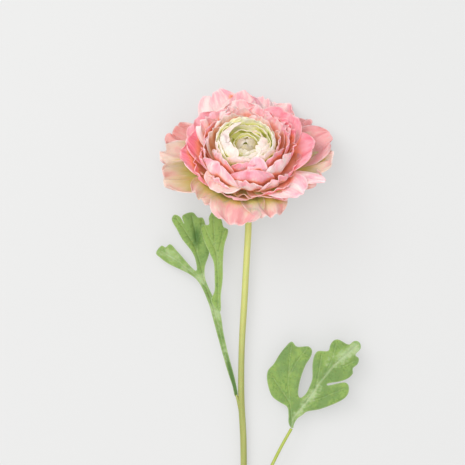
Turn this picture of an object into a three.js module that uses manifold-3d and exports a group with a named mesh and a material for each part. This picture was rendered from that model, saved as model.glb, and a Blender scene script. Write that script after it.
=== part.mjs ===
// A cut ranunculus: one double bloom on a bent neck, with two divided leaves on the stem.
// Millimetres, +Z up. The flower lies on its back on the surface z = 0: the stem runs
// along -Y, the bloom leans towards +Y, and its face looks up and away from the stem.
import * as THREE from "three";
import { mergeVertices } from "three/addons/utils/BufferGeometryUtils.js";
import Module from "manifold-3d";

const wasm = await Module();
wasm.setup();

// Driving dimensions
const BLOOM_AT = new THREE.Vector3(-6.7, 105.25, 19.2); // the point where all petals are rooted
const BLOOM_LEAN = 40; // degrees from straight up, towards +Y
const PETAL_THICK = 0.75;
const LEAF_THICK = 0.8;
const STEM_RADIUS = 1.8;
const STEM_LENGTH = 257.4; // from the bloom's root to the cut end, along Y
const JOINT_GAP = 0.3; // between pieces that meet
const FINEST = 0.1; // the smallest detail of a joined solid

// Small maths
const radians = THREE.MathUtils.degToRad;
const mix = THREE.MathUtils.lerp;
const smooth = THREE.MathUtils.smoothstep;

// A repeatable draw between -1 and 1 for a petal's number and the trait that it sets.
function draw(petal, trait) {
  const x = Math.sin(petal * 12.9898 + trait * 78.233) * 43758.5453;
  return 2 * (x - Math.floor(x)) - 1;
}

// Bloom frame: p is to the right, q up the face, and h along the bloom's axis.
const lean = radians(BLOOM_LEAN);
const P_DIR = new THREE.Vector3(1, 0, 0);
const Q_DIR = new THREE.Vector3(0, Math.cos(lean), -Math.sin(lean));
const H_DIR = new THREE.Vector3(0, Math.sin(lean), Math.cos(lean));

function fromBloom(p, q, h) {
  return BLOOM_AT.clone().addScaledVector(P_DIR, p).addScaledVector(Q_DIR, q).addScaledVector(H_DIR, h);
}

// A point given by its place beside the bloom's root, seen from above, and its height over the surface.
function fromAbove(x, y, z) {
  return new THREE.Vector3(BLOOM_AT.x + x, BLOOM_AT.y + y, z);
}

// Solids
function solidOf(geometry) {
  const bare = geometry.index ? geometry.toNonIndexed() : geometry.clone();
  for (const name of Object.keys(bare.attributes)) {
    if (name !== "position") bare.deleteAttribute(name);
  }
  const merged = mergeVertices(bare, 1e-4);
  return new wasm.Manifold(new wasm.Mesh({
    numProp: 3,
    vertProperties: merged.attributes.position.array,
    triVerts: new Uint32Array(merged.index.array),
  }));
}

function solidFrom(points, faces) {
  const geometry = new THREE.BufferGeometry();
  geometry.setAttribute("position", new THREE.Float32BufferAttribute(points.flatMap((x) => x.toArray()), 3));
  geometry.setIndex(faces);
  return solidOf(geometry);
}

function joined(solids) {
  return solids.reduce((whole, next) => whole.add(next));
}

function largestBody(solid) {
  const bodies = solid.decompose();
  return bodies.reduce((largest, body) => (body.volume() > largest.volume() ? body : largest));
}

// Fills the hollows that joining seals, drops loose scraps, and merges points closer than FINEST.
function oneBody(solid) {
  return largestBody(largestBody(solid).simplify(FINEST));
}

function meshOf(solid, name, material) {
  const made = solid.getMesh();
  const geometry = new THREE.BufferGeometry();
  geometry.setAttribute("position", new THREE.BufferAttribute(made.vertProperties, 3));
  geometry.setIndex(new THREE.BufferAttribute(made.triVerts, 1));
  const flat = geometry.toNonIndexed();
  flat.computeVertexNormals();
  const mesh = new THREE.Mesh(flat, material);
  mesh.name = name;
  return mesh;
}

// A closed thin sheet over a grid of cells, "across" of them by the rows in "along".
// at(u, v) gives its middle surface, with u and v from 0 to 1.
function sheet(at, across, along, thickness) {
  const upper = [];
  const lower = [];
  const step = 1e-3;
  for (const v of along) {
    for (let i = 0; i <= across; i += 1) {
      const u = i / across;
      const here = at(u, v);
      const du = at(u + step, v).sub(at(u - step, v));
      const dv = at(u, v + step).sub(at(u, v - step));
      const normal = du.cross(dv).normalize();
      upper.push(here.clone().addScaledVector(normal, thickness / 2));
      lower.push(here.clone().addScaledVector(normal, -thickness / 2));
    }
  }
  const row = across + 1;
  const rows = along.length;
  const faces = [];
  const under = upper.length;
  const quad = (a, b, c, d) => faces.push(a, b, c, a, c, d);
  for (let j = 0; j < rows - 1; j += 1) {
    for (let i = 0; i < across; i += 1) {
      const a = j * row + i;
      quad(a, a + 1, a + row + 1, a + row);
      faces.push(under + a, under + a + row + 1, under + a + 1);
      faces.push(under + a, under + a + row, under + a + row + 1);
    }
  }
  for (let i = 0; i < across; i += 1) {
    const last = (rows - 1) * row + i;
    quad(i, under + i, under + i + 1, i + 1);
    quad(last, last + 1, under + last + 1, under + last);
  }
  for (let j = 0; j < rows - 1; j += 1) {
    const left = j * row;
    const right = left + across;
    quad(left, left + row, under + left + row, under + left);
    quad(right, under + right, under + right + row, right + row);
  }
  return solidFrom([...upper, ...lower], faces);
}

// A solid of revolution about the bloom's axis, from [radius, height] pairs that start and end on it.
function turnedAboutAxis(profile, sides) {
  const lathe = new THREE.LatheGeometry(profile.map(([r, h]) => new THREE.Vector2(r, h)), sides);
  const position = lathe.attributes.position;
  for (let i = 0; i < position.count; i += 1) {
    const at = fromBloom(position.getX(i), -position.getZ(i), position.getY(i));
    position.setXYZ(i, at.x, at.y, at.z);
  }
  return solidOf(lathe);
}

// A round rod along a smooth line through stations, each { at, radius }.
function rod(stations, segments, sides) {
  const line = new THREE.CatmullRomCurve3(stations.map((station) => station.at), false, "centripetal");
  const points = [];
  for (let j = 0; j <= segments; j += 1) {
    const t = j / segments;
    const nearest = Math.min(stations.length - 2, Math.floor(t * (stations.length - 1)));
    const past = t * (stations.length - 1) - nearest;
    const radius = mix(stations[nearest].radius, stations[nearest + 1].radius, past);
    const centre = line.getPoint(t);
    const ahead = line.getTangent(t);
    const sideways = ahead.clone().cross(new THREE.Vector3(0, 0, 1)).normalize();
    const upwards = sideways.clone().cross(ahead);
    for (let i = 0; i < sides; i += 1) {
      const angle = (2 * Math.PI * i) / sides;
      points.push(centre.clone()
        .addScaledVector(sideways, radius * Math.cos(angle))
        .addScaledVector(upwards, radius * Math.sin(angle)));
    }
  }
  const faces = [];
  for (let j = 0; j < segments; j += 1) {
    for (let i = 0; i < sides; i += 1) {
      const a = j * sides + i;
      const b = j * sides + ((i + 1) % sides);
      faces.push(a, b + sides, b, a, a + sides, b + sides);
    }
  }
  const last = segments * sides;
  for (let i = 1; i < sides - 1; i += 1) {
    faces.push(0, i, i + 1);
    faces.push(last, last + i + 1, last + i);
  }
  return solidFrom(points, faces);
}

// Petals
// A petal grows from root to edge, each [radius, height] in the bloom frame, along a smooth curve that
// leaves the root at angles[0] and ends at angles[1]: 0 points outwards, 90 up the axis, over 90 inwards.
function profileOf(petal) {
  const [r0, h0] = petal.root;
  const [r1, h1] = petal.edge;
  const reach = 0.38 * Math.hypot(r1 - r0, h1 - h0);
  const [a0, a1] = petal.angles.map(radians);
  return new THREE.CubicBezierCurve(
    new THREE.Vector2(r0, h0),
    new THREE.Vector2(r0 + reach * Math.cos(a0), h0 + reach * Math.sin(a0)),
    new THREE.Vector2(r1 - reach * Math.cos(a1), h1 - reach * Math.sin(a1)),
    new THREE.Vector2(r1, h1),
  );
}

// Half the petal's width at v, narrow at the root, widest at WIDEST, rounded at the edge.
const WIDEST = 0.62;
const ROOT_WIDTH = 0.34;
const TIP_ROUNDNESS = 2.5;
function halfWidthAt(petal, v) {
  if (v < WIDEST) return petal.halfWidth * mix(ROOT_WIDTH, 1, Math.sin((v / WIDEST) * Math.PI / 2));
  const past = Math.min(1, (v - WIDEST) / (1 - WIDEST));
  return petal.halfWidth * (1 - (0.9 * past) ** TIP_ROUNDNESS) ** (1 / TIP_ROUNDNESS);
}

function petalSurface(petal) {
  const profile = profileOf(petal);
  const turn = radians(petal.azimuth);
  return (u, v) => {
    const side = 2 * u - 1;
    const along = v * (1 - 0.05 * side ** 2 * v ** 4);
    const middle = profile.getPoint(along);
    const out = profile.getTangent(Math.min(0.999, Math.max(0.001, along)));
    const bend = petal.wrap / Math.max(middle.x, 4);
    const span = side * halfWidthAt(petal, v);
    const ruffle = petal.wave * v * v * Math.sin(2.6 * Math.PI * side + petal.phase);
    const rise = (1 - Math.cos(bend * span)) / bend + ruffle + petal.tuck * side * v;
    const tangential = Math.sin(bend * span) / bend;
    const r = middle.x - out.y * rise;
    const h = middle.y + out.x * rise;
    const p = r * Math.cos(turn) - tangential * Math.sin(turn);
    const q = r * Math.sin(turn) + tangential * Math.cos(turn);
    return pressed(fromBloom(p, q, h), petal.bed ?? OVERLAID);
  };
}

// A petal that the bloom's weight presses lies flat: on the surface, or OVERLAID above it on other petals.
const ON_SURFACE = 0;
const OVERLAID = 1.1;
function pressed(point, bed) {
  point.z = Math.max(point.z, bed + PETAL_THICK / 2);
  return point;
}

const OPEN_ROWS = [0, 0.3, 0.62, 0.86, 1];
const HEART_ROWS = [0, 0.45, 0.8, 1];
function petalSolid(petal, rows) {
  return sheet(petalSurface(petal), petal.cells, rows, PETAL_THICK);
}

// Rings of like petals. The heart's go inwards from its outside, and the pink ones outwards.
// "front" is what a petal on the stem's side of the ring has more of: radius and height of its edge, and
// degrees in its first and last angle. It makes the front petals cup the heart and hide its foot.
const HEART_FORM = { wrap: 1, wave: 0.15, tuck: -0.5, cells: 4, front: [0, 0, 0, 0] };
const HEART_RINGS = [
  { petals: 7, turn: 48, root: [5.4, 7.6], edge: [15.2, 28.8], angles: [36, 102], halfWidth: 9.8 },
  { petals: 6, turn: 20, root: [5.2, 8.0], edge: [13.8, 28.4], angles: [40, 108], halfWidth: 10.0 },
  { petals: 5, turn: 115, root: [5.2, 8.6], edge: [11.2, 27.0], angles: [40, 128], halfWidth: 10.4 },
  { petals: 4, turn: 200, root: [5.0, 9.0], edge: [8.6, 25.2], angles: [40, 146], halfWidth: 11.5 },
  { petals: 3, turn: 75, root: [5.0, 12.0], edge: [6.7, 25.4], angles: [68, 116], halfWidth: 8.0 },
];
const PINK_RINGS = [
  {
    petals: 7, turn: 12, root: [6.0, 1.8], edge: [18.8, 27.2], angles: [32, 92], front: [-0.6, 2.0, 0, 14],
    halfWidth: 10.5, wrap: 0.95, wave: 0.5, tuck: -1.0, cells: 4,
  },
  {
    petals: 8, turn: 50, root: [6.4, 1.5], edge: [24.6, 25.6], angles: [27, 78], front: [-2.6, 2.2, -34, 52],
    halfWidth: 13.2, wrap: 0.9, wave: 0.6, tuck: -1.2, cells: 4,
  },
  {
    petals: 8, turn: 25, root: [6.8, 1.1], edge: [31.0, 22.2], angles: [22, 60], front: [-1.5, -7.5, -10, 14],
    halfWidth: 13.0, wrap: 0.75, wave: 0.6, tuck: -1.3, cells: 4,
  },
  {
    petals: 8, turn: 3, root: [7.0, 0.7], edge: [37.5, 17.6], angles: [17, 44], front: [-6.5, -7.6, -2, 4],
    halfWidth: 14.0, wrap: 0.55, wave: 0.8, tuck: -1.4, cells: 4,
  },
];

// The outer petals are each placed by their own turn, reach and height.
// The lowest three are pressed flat on the surface.
const OUTER_FORM = { root: [7.2, 0.2], wrap: 0.3, wave: 1.5, tuck: -1.2, cells: 5 };
const OUTER_PETALS = [
  { azimuth: 110, edge: [53, 13], angles: [8, 30], halfWidth: 13.0, bed: ON_SURFACE },
  { azimuth: 93, edge: [48, 14], angles: [8, 35], halfWidth: 12.5 },
  { azimuth: 77, edge: [46.5, 13], angles: [8, 30], halfWidth: 9.0, bed: 1.7 },
  { azimuth: 62, edge: [46.5, 13], angles: [8, 35], halfWidth: 11.5 },
  { azimuth: 46, edge: [51, 4], angles: [8, 10], halfWidth: 9.5, bed: ON_SURFACE },
  { azimuth: 21, edge: [50, 12], angles: [8, 25], halfWidth: 14.0 },
  { azimuth: 6, edge: [49, 9], angles: [8, 10], halfWidth: 12.0 },
  { azimuth: -18, edge: [46, 9], angles: [8, 15], halfWidth: 9.0 },
  { azimuth: -48, edge: [37, 11], angles: [8, -10], halfWidth: 12.0 },
  { azimuth: -70, edge: [39.5, 7], angles: [8, -10], halfWidth: 12.0 },
  { azimuth: -95, edge: [44, 7], angles: [8, -20], halfWidth: 14.5 },
  { azimuth: -134, edge: [37.5, 9], angles: [8, 0], halfWidth: 12.0 },
  { azimuth: -165, edge: [48, 8], angles: [8, 5], halfWidth: 12.0 },
  { azimuth: 172, edge: [48, 8], angles: [8, 10], halfWidth: 12.5 },
  { azimuth: 147, edge: [51, 3], angles: [8, 15], halfWidth: 13.0, bed: ON_SURFACE },
];

// The petals of rings, each with small differences in its turn, reach, height, last angle and width.
function petalsOf(rings, form, firstNumber) {
  let number = firstNumber;
  return rings.flatMap((ring) => Array.from({ length: ring.petals }, (_, i) => {
    number += 1;
    const azimuth = ring.turn + (360 / ring.petals) * i + 7 * draw(number, 1);
    const fore = Math.max(0, -Math.sin(radians(azimuth))) ** 0.6;
    const [wider, taller, steeper, closer] = ring.front ?? form.front;
    const [r, h] = ring.edge;
    const [first, last] = ring.angles;
    const loose = r / 40;
    return {
      ...form,
      ...ring,
      azimuth,
      edge: [
        r + fore * wider + 2.4 * loose * draw(number, 2),
        h + fore * taller + 2.2 * loose * draw(number, 3),
      ],
      angles: [first + fore * steeper, last + fore * closer + 12 * loose * draw(number, 4)],
      halfWidth: ring.halfWidth * (1 + 0.12 * draw(number, 5)),
      phase: Math.PI * draw(number, 6),
    };
  }));
}

function outerPetals() {
  return OUTER_PETALS.map((petal, i) => ({ ...OUTER_FORM, ...petal, phase: Math.PI * draw(200 + i, 6) }));
}

// Bloom
// The cup fills the space among the petals' roots, and the heart sits in a room above it.
const CUP = [
  [0, -3], [5, -3], [9, -1.8], [13, 0.2], [15.5, 2.8], [15.2, 5.2], [12, 5.6], [8, 3.6], [0, 3.2],
];
const HEART_CORE = [
  [0, 3.6], [4.6, 3.6], [6.2, 6], [9.6, 12], [10.4, 16], [8.6, 18.4], [5.4, 18.2], [5.2, 20.6],
  [4.0, 22.4], [1.8, 23.2], [0.6, 22.8], [0, 22.2],
];
const HEART_ROOM = [[0, 3.4], [5.2, 3.4], [8.0, 6], [12.4, 11], [15.6, 17], [16.6, 22], [16.6, 33], [0, 36]];

function heartSolid() {
  const room = turnedAboutAxis(HEART_ROOM, 32);
  const core = turnedAboutAxis(HEART_CORE, 20);
  const petals = petalsOf(HEART_RINGS, HEART_FORM, 0).map((petal) => petalSolid(petal, HEART_ROWS));
  return oneBody(joined([core, ...petals]).intersect(room));
}

function pinkSolid() {
  const wider = HEART_ROOM.map(([r, h], i) => [r === 0 ? 0 : r + JOINT_GAP, i < 2 ? h - JOINT_GAP : h + 0.1]);
  const room = turnedAboutAxis(wider, 32);
  const cup = turnedAboutAxis(CUP, 20);
  const petals = [...petalsOf(PINK_RINGS, {}, 100), ...outerPetals()];
  return oneBody(joined([cup, ...petals.map((petal) => petalSolid(petal, OPEN_ROWS))]).subtract(room));
}

// Stem, with the green seat and the sepals under the bloom, a short branch and a leaf stalk
const SEAT = [[0, -9.2], [1.9, -8.8], [3.0, -7.2], [4.6, -5.6], [5.2, -4.2], [4.8, -3.3], [0, -3.3]];
const SEPALS = {
  petals: 5, turn: 20, root: [3.6, -4.6], edge: [14.0, -7.6], angles: [8, -50],
  halfWidth: 4.6, wrap: 0.5, wave: 0.3, tuck: 0, cells: 3, front: [0, 0, 0, 0],
};
const STEM_LINE = [
  [0, -5.0, 13.2], [0.4, -10.5, 9.0], [0.9, -18, 6.9], [1.4, -28.1, 6.6], [0.4, -48.4, 6.4], [-0.8, -70.4, 6.0],
  [-2.3, -97.9, 5.5], [-2.5, -125.4, 4.9], [-1.4, -147.4, 4.4], [-1.1, -175, 3.8], [-1.1, -203, 3.1],
  [-1.1, -230, 2.5], [-1.1, -STEM_LENGTH, STEM_RADIUS],
];
const BRANCH_LINE = [[-2.4, -134.0, 4.7, 1.5], [-4.1, -128.9, 4.9, 1.2], [-6.1, -124.5, 5.0, 1.0]];
const STALK_LINE = [
  [-1.1, -211.0, 3.0, 1.3], [2.0, -193.0, 4.2, 1.15], [7.2, -178.0, 5.6, 1.0], [13.9, -163.5, 6.9, 0.9],
  [19.6, -152.0, 7.9, 0.85], [25.2, -141.95, 8.6, 0.8],
];

function stations(line) {
  return line.map(([x, y, z, radius = STEM_RADIUS]) => ({ at: fromAbove(x, y, z), radius }));
}

function stemSolid() {
  return oneBody(joined([
    turnedAboutAxis(SEAT, 16),
    ...petalsOf([SEPALS], {}, 300).map((sepal) => petalSolid(sepal, OPEN_ROWS)),
    rod(stations(STEM_LINE), 24, 12),
    rod(stations(BRANCH_LINE), 3, 8),
    rod(stations(STALK_LINE), 10, 8),
  ]));
}

// Leaves
// Outlines as seen from above, from the stalk's end clockwise.
const LEFT_OUTLINE = [
  [-7.6, -124.7], [-9.2, -116.3], [-12.0, -104.7], [-15.6, -91.4], [-18.3, -81.3], [-20.6, -72.8],
  [-26.0, -61.1], [-30.7, -56.9], [-43.0, -50.6], [-47.4, -47.5], [-50.0, -44.8], [-46.7, -40.6],
  [-44.7, -41.6], [-42.1, -39.7], [-37.7, -44.0], [-27.5, -54.5], [-27.9, -48.7], [-30.0, -44.0],
  [-35.3, -37.0], [-38.0, -32.0], [-41.1, -25.7], [-39.6, -23.4], [-36.5, -24.5], [-34.2, -28.5],
  [-35.3, -24.2], [-29.6, -22.1], [-26.4, -24.9], [-24.1, -24.9], [-22.5, -28.5], [-21.0, -37.4],
  [-20.3, -44.4], [-22.7, -52.5], [-22.5, -58.8], [-18.6, -68.1], [-14.3, -77.4], [-12.4, -89.1],
  [-9.7, -101.5], [-7.3, -110.1], [-5.4, -117.1], [-5.0, -123.7],
];
const LEFT_LOBE_OUTLINE = [
  [-19.3, -71.1], [-17.4, -65.7], [-17.3, -58.7], [-17.8, -50.2], [-20.2, -44.3], [-23.3, -37.8],
  [-24.9, -29.2], [-20.5, -28.9], [-20.5, -25.0], [-17.8, -21.2], [-15.8, -25.0], [-13.5, -26.2],
  [-12.4, -30.1], [-9.9, -31.7], [-12.0, -40.9], [-12.7, -50.2], [-12.8, -58.7], [-13.9, -68.0],
  [-14.3, -77.3],
];
const RIGHT_OUTLINE = [
  [24.6, -141.3], [23.8, -137.3], [24.4, -134.5], [22.8, -129.7], [19.0, -127.5], [14.9, -124.5],
  [13.0, -120.7], [11.6, -113.0], [12.5, -109.3], [15.2, -106.4], [18.1, -101.6], [21.5, -97.1],
  [25.4, -93.7], [28.1, -96.4], [34.9, -96.4], [36.6, -98.6], [35.8, -102.1], [32.9, -106.9],
  [29.6, -116.9], [29.1, -123.5], [30.1, -124.8], [32.9, -122.8], [35.3, -118.3], [36.7, -114.0],
  [36.8, -106.4], [37.7, -101.6], [39.6, -99.0], [45.7, -98.6], [46.6, -95.6], [48.5, -93.0],
  [50.9, -92.4], [57.0, -95.2], [59.3, -93.5], [61.4, -93.2], [63.1, -94.5], [63.4, -97.5], [60.5, -101.1],
  [62.4, -102.8], [61.8, -105.9], [59.1, -108.5], [59.1, -111.2], [57.0, -113.6], [52.6, -115.5],
  [44.8, -117.1], [44.8, -117.8], [55.0, -116.2], [56.7, -117.8], [56.7, -121.7], [54.5, -125.0],
  [41.6, -130.9], [32.9, -133.1], [29.1, -135.9], [27.2, -138.8], [26.1, -142.0],
];

// Heights of the leaves' middle surfaces: each blade rises from its stalk, droops to both sides of the
// line that its midrib follows, and ripples a little where it is wide.
const LEFT_RISE = { from: 5.0, to: 10.5, start: -122, end: -72 };
const LEFT_DROOP = 0.008;
const LEFT_RIPPLE = 0.5;
function leftHeight(x, y) {
  const beside = (x + 5.5 + 0.25 * (y + 123)) * 0.97;
  const droop = LEFT_DROOP * Math.min(0, beside) ** 2;
  const ripple = LEFT_RIPPLE * Math.sin(0.33 * x) * Math.sin(0.21 * y) * smooth(y, -80, -50);
  return mix(LEFT_RISE.from, LEFT_RISE.to, smooth(y, LEFT_RISE.start, LEFT_RISE.end)) - droop + ripple;
}

// The lobe beside the stem lies over the rest of the leaf and is arched across.
const LOBE_LIFT = { from: 0.3, to: 4.6, start: -76, end: -50 };
const LOBE_MIDDLE = -16;
const LOBE_ARCH = 0.03;
function leftLobeHeight(x, y) {
  const lift = mix(LOBE_LIFT.from, LOBE_LIFT.to, smooth(y, LOBE_LIFT.start, LOBE_LIFT.end));
  const arch = LOBE_ARCH * (x - LOBE_MIDDLE) ** 2 * smooth(y, -60, -40);
  return leftHeight(x, y) + lift - arch;
}

const RIGHT_STALK = { x: 25.3, y: -141.6 };
const RIGHT_RISE = { from: 8.6, to: 12.4, length: 45 };
const RIGHT_DROOP = 0.0035;
const RIGHT_RIPPLE = 0.6;
function rightHeight(x, y) {
  const dx = x - RIGHT_STALK.x;
  const dy = y - RIGHT_STALK.y;
  const out = Math.hypot(dx, dy);
  const beside = 0.77 * dx - 0.64 * dy;
  const ripple = RIGHT_RIPPLE * Math.sin(0.3 * x + 1) * Math.sin(0.27 * y) * smooth(out, 10, 30);
  const rise = mix(RIGHT_RISE.from, RIGHT_RISE.to, smooth(out, 0, RIGHT_RISE.length));
  return rise - RIGHT_DROOP * beside ** 2 + ripple;
}

// A blade is its outline cut from a bent sheet of LEAF_THICK, made of cells of the given size.
const ABOVE_LEAVES = 40;
function bladeSolid(outline, heightAt, cell) {
  const box = new THREE.Box2().setFromPoints(outline.map(([x, y]) => new THREE.Vector2(x, y)));
  box.expandByScalar(1);
  const size = box.getSize(new THREE.Vector2());
  const columns = Math.ceil(size.x / cell);
  const rows = Math.ceil(size.y / cell);
  const surface = (u, v) => {
    const x = mix(box.min.x, box.max.x, u);
    const y = mix(box.min.y, box.max.y, v);
    return fromAbove(x, y, heightAt(x, y));
  };
  const along = Array.from({ length: rows + 1 }, (_, j) => j / rows);
  const bent = sheet(surface, columns, along, LEAF_THICK);
  const shape = new THREE.Shape(outline.map(([x, y]) => new THREE.Vector2(BLOOM_AT.x + x, BLOOM_AT.y + y)));
  const tall = solidOf(new THREE.ExtrudeGeometry(shape, { depth: ABOVE_LEAVES, bevelEnabled: false }));
  return bent.intersect(tall);
}

const LEAF_CELL = 6;
function leftLeafSolid() {
  return oneBody(joined([
    bladeSolid(LEFT_OUTLINE, leftHeight, LEAF_CELL),
    bladeSolid(LEFT_LOBE_OUTLINE, leftLobeHeight, LEAF_CELL),
  ]));
}

function rightLeafSolid() {
  return oneBody(bladeSolid(RIGHT_OUTLINE, rightHeight, LEAF_CELL));
}

// Materials
const paint = (color, roughness) => new THREE.MeshStandardMaterial({ color, roughness, metalness: 0 });
const pink = paint(0xf2a3ad, 0.8);
const cream = paint(0xe3e0b4, 0.8);
const leafGreen = paint(0x8fb26a, 0.75);
const stemGreen = paint(0xb9bf68, 0.6);

const flower = new THREE.Group();
flower.add(meshOf(pinkSolid(), "bloom_pink_petals", pink));
flower.add(meshOf(heartSolid(), "bloom_cream_heart", cream));
flower.add(meshOf(stemSolid(), "stem", stemGreen));
flower.add(meshOf(leftLeafSolid(), "leaf_left", leafGreen));
flower.add(meshOf(rightLeafSolid(), "leaf_right", leafGreen));

export default flower;
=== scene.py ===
"""A cut ranunculus lying on a pale surface: bloom, stem and two divided leaves.

Lengths in the forms are millimetres in the frame of the model; meshes are made in metres.
"""

import math

import bpy
import numpy as np
from bpy.props import FloatProperty, FloatVectorProperty, IntProperty, PointerProperty
from bpy.types import Operator, Panel, PropertyGroup
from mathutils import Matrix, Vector
from mathutils.bvhtree import BVHTree
from mathutils.geometry import delaunay_2d_cdt


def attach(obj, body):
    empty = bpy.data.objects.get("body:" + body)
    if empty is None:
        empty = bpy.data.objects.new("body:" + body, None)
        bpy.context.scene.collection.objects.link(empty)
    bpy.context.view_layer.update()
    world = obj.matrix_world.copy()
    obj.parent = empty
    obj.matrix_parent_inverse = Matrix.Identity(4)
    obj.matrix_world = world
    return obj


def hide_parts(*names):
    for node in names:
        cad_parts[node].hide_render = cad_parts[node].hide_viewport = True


bl_info = {
    "name": "Cut ranunculus",
    "version": (1, 0, 0),
    "blender": (4, 5, 0),
    "location": "3D View > Sidebar > Flower",
    "description": "Makes a ranunculus bloom with its stem and leaves, and the place it lies in",
    "category": "Add Mesh",
}

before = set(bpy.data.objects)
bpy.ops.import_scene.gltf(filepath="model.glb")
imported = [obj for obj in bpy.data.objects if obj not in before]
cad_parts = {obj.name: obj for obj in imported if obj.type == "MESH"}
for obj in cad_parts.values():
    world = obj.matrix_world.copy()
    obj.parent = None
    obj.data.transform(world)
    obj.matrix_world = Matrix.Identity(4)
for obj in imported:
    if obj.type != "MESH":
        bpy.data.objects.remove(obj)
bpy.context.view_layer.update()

MM = 0.001
BODY = "root"

# What keeps divisors off nothing, and the angle from which an edge of a mesh is sharp
TINY = 1e-12
LEAST_STEP = 1e-6
SHARP_ANGLE = math.radians(50)

# The bloom's root, and how far its axis leans from straight up towards +Y
BLOOM_AT = np.array([-6.7, 105.25, 19.2])
BLOOM_LEAN = math.radians(40)
P_DIR = np.array([1.0, 0.0, 0.0])
Q_DIR = np.array([0.0, math.cos(BLOOM_LEAN), -math.sin(BLOOM_LEAN)])
H_DIR = np.array([0.0, math.sin(BLOOM_LEAN), math.cos(BLOOM_LEAN)])

# The least heights of petals over the surface, where the bloom's weight presses them flat, and the
# thickness of a pressed petal
ON_SURFACE = 0.0
OVERLAID = 1.1
OVERLAID_TWICE = 1.7
PRESSED_THICK = 0.75

# The petals. Root and edge are (radius, height) about the bloom's axis, and angles the middle
# line's slopes there, in degrees. Wrap bends a petal round the axis, tuck lowers one side under
# its neighbour, wave and frill are the strengths of its long and fine waves, and notch the depth
# of the cut in its edge. Blush is how far the rim's colour spreads, green how green the foot is,
# and bed the petal's least height over the surface.
#
# A ring's turn is its first petal's azimuth. Towards the viewer its front changes the edge's
# radius and height and both slopes, and its front_blush and front_green are added; side_blush is
# added at the sides.
PINK_RINGS = [
    dict(petals=7, turn=12, root=(6.0, 1.8), edge=(18.8, 27.2), angles=(32, 92),
         front=(-0.6, 2.0, 0, 14), half_width=10.5, wrap=0.95, wave=0.5, tuck=-1.0, frill=0.4,
         blush=0.15, front_blush=0.1, green=0.3, front_green=-0.3),
    dict(petals=8, turn=50, root=(6.4, 1.5), edge=(24.6, 25.6), angles=(27, 78),
         front=(-2.6, 2.2, -34, 52), half_width=13.2, wrap=0.9, wave=0.6, tuck=-1.2, frill=0.5,
         blush=0.42, green=0.15),
    dict(petals=8, turn=25, root=(6.8, 1.1), edge=(31.0, 22.2), angles=(22, 60),
         front=(-1.5, -7.5, -10, 14), half_width=13.0, wrap=0.75, wave=0.6, tuck=-1.3, frill=0.8,
         blush=0.65, side_blush=0.45, green=0.15, front_green=0.25),
    dict(petals=8, turn=3, root=(7.0, 0.7), edge=(37.5, 17.6), angles=(17, 44),
         front=(-9.0, -6.8, -2, 4), half_width=14.0, wrap=0.55, wave=0.8, tuck=-1.4, frill=0.9,
         blush=0.6, side_blush=0.3, green=0.2, front_green=0.7),
]
INNER_RINGS = 2

# Smaller ruffled petals between the second and third rings
RUFFLED_RINGS = [
    dict(petals=9, turn=30, root=(6.6, 1.3), edge=(27.8, 24.2), angles=(25, 70),
         front=(-2.0, -3.0, -20, 30), half_width=8.5, wrap=0.85, wave=0.8, tuck=-1.3, frill=1.0,
         blush=0.25, side_blush=0.35, green=0.25),
]

# Outer petals: azimuth, edge, slope at the edge, half width, blush, and what sets each apart
OUTER_FORM = dict(root=(7.2, 0.2), wrap=0.3, wave=1.5, tuck=-1.2, green=1.0, frill=1.0)
OUTER_ROOT_SLOPE = 8
OUTER_ROWS = [
    (110, (53, 13), 30, 13.0, 0.45, dict(bed=ON_SURFACE, green=0.15)),
    (93, (48, 14), 35, 12.5, 0.5, dict(green=0.2)),
    (77, (46.5, 13), 30, 9.0, 0.42, dict(bed=OVERLAID_TWICE, green=0.2)),
    (62, (46.5, 13), 35, 11.5, 0.4, dict(green=0.35)),
    (46, (51, 4), 10, 9.5, 0.8, dict(bed=ON_SURFACE)),
    (21, (50, 12), 25, 14.5, 0.8, dict(frill=0.5, notch=0.2)),
    (6, (49, 9), 10, 12.5, 0.25, dict(green=1.5, frill=0.5, notch=0.3)),
    (-18, (43.5, 9), 15, 9.0, 0.6, dict(frill=0.5)),
    (-48, (37, 11), -10, 12.0, 0.9, {}),
    (-70, (40.5, 7), -10, 12.5, 0.45, dict(green=1.4, frill=0.25, notch=0.0)),
    (-99, (44.5, 7), -20, 15.0, 0.65, dict(green=1.1, frill=0.5)),
    (-134, (37.5, 9), 0, 12.0, 0.5, dict(green=1.7, frill=0.3, notch=0.0)),
    (-165, (48, 8), 5, 12.0, 0.3, dict(green=1.7, frill=0.6, notch=0.3)),
    (172, (48, 8), 10, 12.5, 0.3, dict(green=1.3, frill=0.8, notch=0.6)),
    (147, (51, 3), 15, 13.0, 0.9, dict(bed=ON_SURFACE, green=1.45)),
]
OUTER_PETALS = [
    dict(azimuth=azimuth, edge=edge, angles=(OUTER_ROOT_SLOPE, slope), half_width=half_width,
         blush=blush, **more)
    for azimuth, edge, slope, half_width, blush, more in OUTER_ROWS
]

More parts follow.
